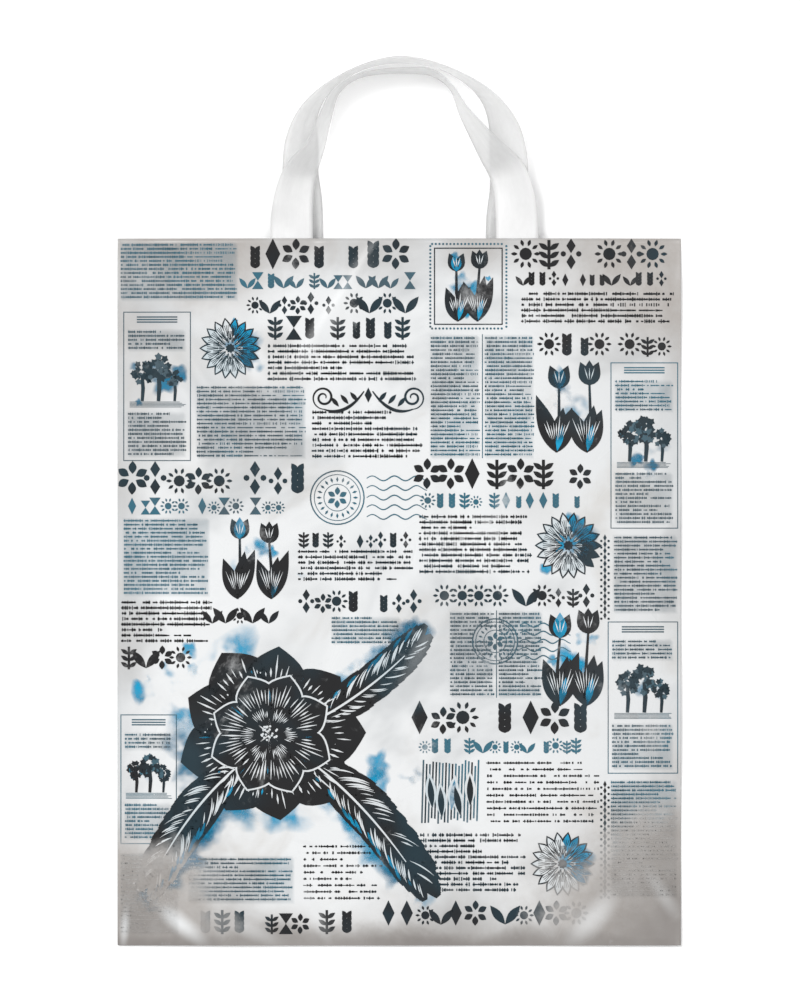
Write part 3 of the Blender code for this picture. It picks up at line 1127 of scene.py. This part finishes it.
STAINS = (      # spot on the panel, reach, softness (millimetres), strength
    (-14, -14, 104, 34, 1.0), (420, -22, 130, 44, 1.0), (410, 516, 100, 50, 1.0),
    (-8, 330, 26, 26, 0.35), (10, 508, 40, 30, 0.7), (118, 404, 13, 12, 0.45),
    (410, 262, 34, 30, 0.4), (190, 510, 30, 22, 0.5), (-6, 214, 26, 24, 0.4),
    (210, -14, 44, 26, 0.5), (300, 316, 22, 22, 0.25), (320, 516, 46, 26, 0.75),
    (60, 524, 66, 28, 0.95), (130, 510, 30, 18, 0.75), (256, 506, 26, 16, 0.7), (0, 440, 26, 20, 0.55),
    (112, 428, 10, 10, 0.5), (404, 120, 30, 30, 0.5),
)
PAPER_WHITE = (0.655, 0.665, 0.67, 1)
PAPER_GREY = (0.44, 0.452, 0.46, 1)
PAPER_WARM = (0.45, 0.425, 0.395, 1)
# Stain tones; the darker band along the bottom fold is painted shade in these same tones.
STAIN_AND_SHADE_TONE = (0.34, 0.315, 0.295, 1)
DEEP_STAIN_AND_SHADE_TONE = (0.175, 0.160, 0.150, 1)
SMUT = (0.42, 0.43, 0.44, 1)
INK_GLOSS = 0.34                    # ink is duller than bare film, which has 0.5
FILM_RELIEF = 0.25 * MM


DEEP_STAINS = (     # the same, for the darkest stains
    (418, -8, 84, 44, 0.85), (-10, -10, 58, 34, 0.5), (246, -12, 40, 24, 0.5), (76, -14, 40, 22, 0.5),
)
# Painted sheen: pale soft spots that stand in for gloss highlights along the film's folds, over film and
# ink alike.
PAINTED_SHEENS = (    # spot on the panel, half length, half width (millimetres), angle, strength
    (45, 15, 30, 10, -38, 0.95), (5, 14, 20, 5, 86, 0.7), (138, 27, 34, 8, -64, 0.6),
    (338, 20, 34, 13, 46, 0.55), (150, 446, 66, 10, 59, 0.45), (218, 214, 70, 9, 63, 0.35),
    (386, 38, 30, 9, -57, 0.3), (96, 10, 26, 8, -20, 0.3),
)


def painted_sheen(g, place, wobble):
    """Long soft spots of painted sheen: pale colour that stands in for the film's gloss highlights along
    its folds.
    """
    total = 0.0
    for x, y, long, wide, angle, strength in PAINTED_SHEENS:
        moved = g.add("ShaderNodeMapping", {
            "Vector": place, "Location": (x * MM - HALF, FOLD + y * MM, 0.0),
            "Rotation": (0.0, 0.0, math.radians(angle)), "Scale": (long * MM, wide * MM, 1.0)},
            vector_type="TEXTURE")
        away = g.add("ShaderNodeVectorMath", operation="LENGTH")
        g.feed(away.inputs[0], moved.outputs[0])
        uneven = g.maths("ADD", away.outputs["Value"], g.maths("MULTIPLY", wobble, 0.8))
        total = g.maths("MAXIMUM", total, smooth_range(g, uneven, 1.0, 0.0, 0.0, strength))
    return total


def crease_lines(g, place):
    """Thin, bent lines where the film has been folded before, only here and there."""
    bent = g.add("ShaderNodeTexNoise", {"Vector": place, "Scale": 6.0, "Detail": 2.0}).outputs["Color"]
    moved = g.maths("MULTIPLY_ADD", bent, (0.10, 0.10, 0.0), place, kind="ShaderNodeVectorMath")
    cells = g.add("ShaderNodeTexVoronoi", {"Vector": moved, "Scale": 13.0}, feature="DISTANCE_TO_EDGE")
    line = smooth_range(g, cells.outputs["Distance"], 0.05, 0.0)
    here = smooth_range(g, noise(g, place, 9.0, 2.0), 0.46, 0.62)
    return g.maths("MULTIPLY", line, here)


def aged_ground_and_painted_light():
    """The look that film and inks share: paper colour with painted shade along the edges and the bottom
    fold and painted sheen, how far ink has gone or is veiled by painted sheen, gloss and relief.
    """
    tree = bpy.data.node_groups.new("aged_ground_and_painted_light", "ShaderNodeTree")
    for name, kind in (("Paper", "Color"), ("Faded And Sheen", "Float"), ("Roughness", "Float"), ("Relief", "Float")):
        tree.interface.new_socket(name=name, in_out="OUTPUT", socket_type="NodeSocket" + kind)
    g = Graph(tree)
    place = g.add("ShaderNodeTexCoord").outputs["Object"]
    wobble = g.maths("SUBTRACT", noise(g, place, 14.0, 5.0, 0.6, 0.4), 0.5)
    cloud = noise(g, place, 7.0, 4.0, 0.6, 0.6)
    speck = noise(g, place, 90.0, 5.0, 0.7)
    stains_and_fold_shade = 0.0
    gone = 0.0
    for number, (x, y, reach, soft, strength) in enumerate(STAINS):
        mask = g.maths("MULTIPLY", blot_mask(g, place, (x, y), reach, soft, wobble), strength)
        stains_and_fold_shade = g.maths("MAXIMUM", stains_and_fold_shade, mask)
        if number < 2:
            gone = g.maths("MAXIMUM", gone, mask)
    parts = g.add("ShaderNodeSeparateXYZ", {"Vector": place})
    from_side = g.maths("SUBTRACT", HALF, g.maths("ABSOLUTE", parts.outputs["X"]))
    from_top = g.maths("SUBTRACT", MOUTH, parts.outputs["Y"])
    near_edge = g.maths("ADD", g.maths("MINIMUM", from_side, from_top), g.maths("MULTIPLY", wobble, 0.09))
    # Painted shade: the ground greys towards the side welds and the mouth.
    rim = smooth_range(g, near_edge, 0.044, -0.004, 0.0, 0.75)
    # Greyer towards the right side.
    right = smooth_range(g, parts.outputs["X"], 0.03, 0.22, 0.0, 0.42)
    # This mix holds random cloudy greying together with the painted edge shade.
    cloud_and_edge_shade = g.maths("MAXIMUM", smooth_range(g, cloud, 0.44, 0.70), g.maths("MAXIMUM", rim, right))
    paper = mixed(g, cloud_and_edge_shade, PAPER_WHITE, PAPER_GREY)
    warm = smooth_range(g, noise(g, place, 11.0, 4.0, 0.6, 0.8), 0.52, 0.74, 0.0, 0.5)
    paper = mixed(g, warm, paper, PAPER_WARM)
    near_fold = g.maths("ADD", g.maths("SUBTRACT", parts.outputs["Y"], FOLD),
                        g.maths("MULTIPLY", wobble, 0.03))
    # Painted shade: a darker band along the bottom fold.
    stains_and_fold_shade = g.maths("MAXIMUM", stains_and_fold_shade, smooth_range(g, near_fold, 0.034, 0.0, 0.0, 0.85))
    patchy = g.maths("MULTIPLY", stains_and_fold_shade, smooth_range(g, speck, 0.3, 0.75, 0.8, 1.0))
    paper = mixed(g, patchy, paper, STAIN_AND_SHADE_TONE)
    # Painted shade: a deeper band close along the bottom fold; the blots added to it below are stains.
    deep_stains_and_fold_shade = smooth_range(g, near_fold, 0.022, 0.001, 0.0, 0.95)
    for x, y, reach, soft, strength in DEEP_STAINS:
        mask = g.maths("MULTIPLY", blot_mask(g, place, (x, y), reach, soft, wobble), strength)
        deep_stains_and_fold_shade = g.maths("MAXIMUM", deep_stains_and_fold_shade, mask)
    deep_stains_and_fold_shade = g.maths("MULTIPLY", deep_stains_and_fold_shade, smooth_range(g, cloud, 0.35, 0.6, 0.7, 1.0))
    paper = mixed(g, deep_stains_and_fold_shade, paper, DEEP_STAIN_AND_SHADE_TONE)
    # Painted sheen laid over the film's colour.
    pale = painted_sheen(g, place, wobble)
    paper = mixed(g, pale, paper, PAPER_WHITE)
    paper = mixed(g, smooth_range(g, speck, 0.6, 0.8, 0.0, 0.3), paper, SMUT)
    worn = smooth_range(g, noise(g, place, 22.0, 6.0, 0.72, 0.3), 0.56, 0.76, 0.0, 0.5)
    faded = g.maths("MAXIMUM", worn, smooth_range(g, gone, 0.35, 0.95, 0.0, 0.93))
    # The ink also goes pale under the painted sheen, so this share mixes real fading with painted sheen.
    faded = g.maths("MAXIMUM", faded, g.maths("MULTIPLY", pale, 0.7))
    creased = crease_lines(g, place)
    rough = g.maths("ADD", smooth_range(g, cloud, 0.3, 0.7, 0.24, 0.34), g.maths("MULTIPLY", creased, 0.12))
    soft = g.add("ShaderNodeTexNoise", {"Vector": place, "Scale": 26.0, "Detail": 2.0, "Roughness": 0.45})
    relief = g.maths("ADD", g.maths("MULTIPLY", soft.outputs["Fac"], 0.8),
                     g.maths("ADD", g.maths("MULTIPLY", creased, 0.25), g.maths("MULTIPLY", speck, 0.03)))
    g.add("NodeGroupOutput", {"Paper": paper, "Faded And Sheen": faded, "Roughness": rough, "Relief": relief})
    return tree


def new_material(name):
    material = bpy.data.materials.new(name)
    material.use_nodes = True
    return material, Graph(material.node_tree), material.node_tree.nodes["Principled BSDF"]


def with_relief(g, shader, height, distance):
    bump = g.add("ShaderNodeBump", {"Height": height, "Distance": distance, "Strength": 1.0})
    g.feed(shader.inputs["Normal"], bump.outputs["Normal"])


def inside_film():
    """The film's unprinted white inside, with faint clouds and streaks."""
    material, g, shader = new_material("inside film")
    place = g.add("ShaderNodeTexCoord").outputs["Object"]
    cloud = noise(g, place, 30.0, 4.0, 0.6, 0.3)
    g.feed(shader.inputs["Base Color"], mixed(g, smooth_range(g, cloud, 0.35, 0.65),
                                              (0.80, 0.80, 0.80, 1), (0.72, 0.725, 0.73, 1)))
    g.feed(shader.inputs["Roughness"], smooth_range(g, cloud, 0.3, 0.7, 0.34, 0.46))
    with_relief(g, shader, cloud, 0.2 * MM)
    return material


def printed_film(ground):
    """The outside of the film: an aged, papery print with painted shade along its edges and fold and
    painted sheen, with no ink on it yet.
    """
    material, g, shader = new_material("printed film")
    aged = g.add("ShaderNodeGroup", node_tree=ground).outputs
    g.feed(shader.inputs["Base Color"], aged["Paper"])
    g.feed(shader.inputs["Roughness"], aged["Roughness"])
    with_relief(g, shader, aged["Relief"], FILM_RELIEF)
    return material


def ink(name, ground, colour, other, kept=1.0, thin=0.0, patchy=1.0, strength=1.0):
    """A print colour that drifts between two tones and lets the paper through where it has faded and under
    painted sheen.
    """
    material, g, shader = new_material(name)
    aged = g.add("ShaderNodeGroup", node_tree=ground).outputs
    place = g.add("ShaderNodeTexCoord").outputs["Object"]
    drift = smooth_range(g, noise(g, place, 9.0, 3.0, 0.6, 0.5), 0.42, 0.6)
    tone = mixed(g, drift, colour, other)
    # This share mixes real fading with the painted sheen that veils the ink.
    faded = g.maths("MULTIPLY", aged["Faded And Sheen"], kept)
    g.feed(shader.inputs["Base Color"], mixed(g, faded, tone, aged["Paper"]))
    g.feed(shader.inputs["Roughness"], aged["Roughness"])
    g.feed(shader.inputs["Specular IOR Level"], INK_GLOSS)
    with_relief(g, shader, aged["Relief"], FILM_RELIEF)
    if thin:
        blotchy = smooth_range(g, noise(g, place, 60.0, 5.0, 0.7, 0.4), 0.36, 0.6, 1 - thin, 1.0)
        broad = smooth_range(g, noise(g, place, 26.0, 3.0, 0.6), 0.4, 0.58,
                             (1 - patchy) * strength, strength)
        solid = g.add("ShaderNodeAttribute", attribute_name="solid").outputs["Fac"]
        g.feed(shader.inputs["Alpha"], g.maths("MULTIPLY", g.maths("MULTIPLY", blotchy, broad), solid))
    return material


def milky_film():
    """Thick unprinted film: cloudy, a little clear, denser along its edges and faintly drawn lengthwise."""
    material, g, shader = new_material("milky film")
    run = g.add("ShaderNodeUVMap", uv_map="strip").outputs["UV"]
    parts = g.add("ShaderNodeSeparateXYZ", {"Vector": run})
    across = g.maths("DIVIDE", parts.outputs["Y"], STRIP_WIDTH)
    edge = g.maths("ABSOLUTE", g.maths("SUBTRACT", across, 0.5))
    rim = smooth_range(g, edge, 0.455, 0.5)
    drawn = g.maths("MULTIPLY", run, (6.0, 900.0, 1.0), kind="ShaderNodeVectorMath")
    streak = noise(g, drawn, 1.0, 3.0, 0.6)
    cloud = noise(g, g.maths("MULTIPLY", run, (1.0, 2.0, 1.0), kind="ShaderNodeVectorMath"), 30.0, 4.0)
    # Painted light: the front legs' flat stretch near the mouth gets the whiter tone and more opacity,
    # standing in for how it catches the light.
    lit_leg = g.add("ShaderNodeAttribute", attribute_name="lit_leg").outputs["Fac"]
    clear = mixed(g, smooth_range(g, streak, 0.3, 0.7), (0.78, 0.78, 0.78, 1), (0.69, 0.69, 0.69, 1))
    white = mixed(g, smooth_range(g, streak, 0.3, 0.7), (0.81, 0.81, 0.81, 1), (0.75, 0.75, 0.75, 1))
    tone = mixed(g, lit_leg, clear, white)
    tone = mixed(g, g.maths("MULTIPLY", rim, 0.5), tone, (0.52, 0.52, 0.52, 1))
    g.feed(shader.inputs["Base Color"], tone)
    dense = g.maths("ADD", smooth_range(g, cloud, 0.3, 0.7, 0.36, 0.46),
                    g.maths("ADD", g.maths("MULTIPLY", rim, 0.2),
                            smooth_range(g, streak, 0.4, 0.8, 0.0, 0.08)))
    g.feed(shader.inputs["Alpha"], g.maths("ADD", dense, g.maths("MULTIPLY", lit_leg, 0.42)))
    g.feed(shader.inputs["Roughness"], smooth_range(g, streak, 0.3, 0.7, 0.30, 0.42))
    with_relief(g, shader, streak, 0.05 * MM)
    return material


def floor_material():
    material, _, shader = new_material("pale floor")
    shader.inputs["Base Color"].default_value = (0.97, 0.97, 0.97, 1)
    shader.inputs["Roughness"].default_value = 0.9
    shader.inputs["Specular IOR Level"].default_value = 0.1
    return material


# ---- floor, light and camera ---------------------------------------------------------


def make_floor():
    reach = 60.0
    corners = ((-reach, -reach), (reach, -reach), (reach, reach), (-reach, reach))
    floor = new_object("floor", [(x, y, -FLOOR_BELOW) for x, y in corners], [(0, 1, 2, 3)],
                       floor_material(), smooth=False)


def sun(name, towards, strength, spread):
    light = bpy.data.lights.new(name, "SUN")
    light.energy = strength
    light.angle = math.radians(spread)
    obj = bpy.data.objects.new(name, light)
    obj.rotation_mode = "QUATERNION"
    obj.rotation_quaternion = Vector(towards).to_track_quat("Z", "Y")
    bpy.context.scene.collection.objects.link(obj)


def make_light():
    sun("key", (-0.55, 0.55, 1.0), 1.65, 24)
    sun("fill", (0.7, -0.25, 0.9), 0.70, 60)
    sun("glint", (-0.5, 0.5, 1.3), 0.20, 11)
    sun("far glint", (0.5, 0.5, 1.35), 0.14, 11)
    world = bpy.data.worlds.new("studio")
    bpy.context.scene.world = world
    world.use_nodes = True
    g = Graph(world.node_tree)
    seen = g.add("ShaderNodeLightPath").outputs["Is Camera Ray"]
    glow = smooth_range(g, seen, 0.0, 1.0, ROOM_LIGHT, 1.0)
    g.feed(world.node_tree.nodes["Background"].inputs["Color"], (1, 1, 1, 1))
    g.feed(world.node_tree.nodes["Background"].inputs["Strength"], glow)
    bpy.context.scene.view_settings.view_transform = "Standard"


def make_camera():
    camera = bpy.data.cameras.new("camera")
    camera.sensor_width = SENSOR
    camera.lens = SENSOR / 2 * (VIEW_HEIGHT - BAG_HIGH.z / 2) / (VIEW_LENGTH / 2)
    camera.clip_end = 200.0
    obj = bpy.data.objects.new("camera", camera)
    obj.location = (*VIEW_CENTRE, VIEW_HEIGHT)
    bpy.context.scene.collection.objects.link(obj)
    bpy.context.scene.camera = obj


make_camera()
make_floor()
make_light()

FRONT_PANEL = Surface(front_outside)
BACK_PANEL = Surface(back_height)
lay_out()
ground = aged_ground_and_painted_light()
inks = {
    "dark": ink("dark ink", ground, (0.006, 0.006, 0.007, 1), (0.006, 0.022, 0.032, 1), 0.9),
    "slate": ink("slate ink", ground, (0.026, 0.112, 0.160, 1), (0.045, 0.076, 0.095, 1), 1.0),
    "cyan": ink("cyan ink", ground, (0.000, 0.285, 0.500, 1), (0.002, 0.140, 0.260, 1), 0.7, 0.35),
    "tint": ink("thin ink", ground, (0.150, 0.235, 0.285, 1), (0.175, 0.215, 0.240, 1),
                1.0, 0.25, 0.3, 0.28),
    "pale": ink("bare lines", ground, (0.58, 0.60, 0.61, 1), (0.46, 0.52, 0.55, 1), 1.0),
}


def own_piece(obj, stands_for=None):
    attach(obj, "root")
    if stands_for:
        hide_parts(stands_for)


def make_print():
    """Lays the flat design on both panels, one piece for each colour and panel."""
    rows = small_print_tree()
    for name, material in inks.items():
        cut_up(BROAD[name])
        batches = []
        for shape in (SHAPES[name], BROAD[name]):
            clip_to_panel(shape)
            batches.append(flat_mesh(shape))
        for x, y, wide, high, seed, style, colour in TEXT_BLOCKS:
            if colour == name:
                batches.append(print_block(rows, x, y, wide, high, seed, style, material))
        for side, lay, panel, out in (("front", laid_on_front, FRONT_PANEL, 1),
                                      ("back", laid_on_back, BACK_PANEL, -1)):
            points, faces, solid = [], [], []
            for flat, polygons in batches:
                faces.extend((polygons + len(points)).tolist())
                points.extend(kept_clear(lay(flat), polygons, panel, out).tolist())
                solid.extend(flat[:, 3].tolist())
            obj = new_object(f"{name}_print_{side}", points, faces, material)
            obj.data.attributes.new("solid", "FLOAT", "POINT").data.foreach_set("value", solid)
            planar_map(obj)
            own_piece(obj)


film = bag_film(printed_film(ground), inside_film())
planar_map(film)
own_piece(film, "bag_body")
make_print()

milky = milky_film()
for name, stations, outer in (("front_handle", FRONT_LOOP, False), ("back_handle", BACK_LOOP, True)):
    strip, strip_length = handle_strip(name + "_strip", stations, outer, milky)
    own_piece(strip, name)
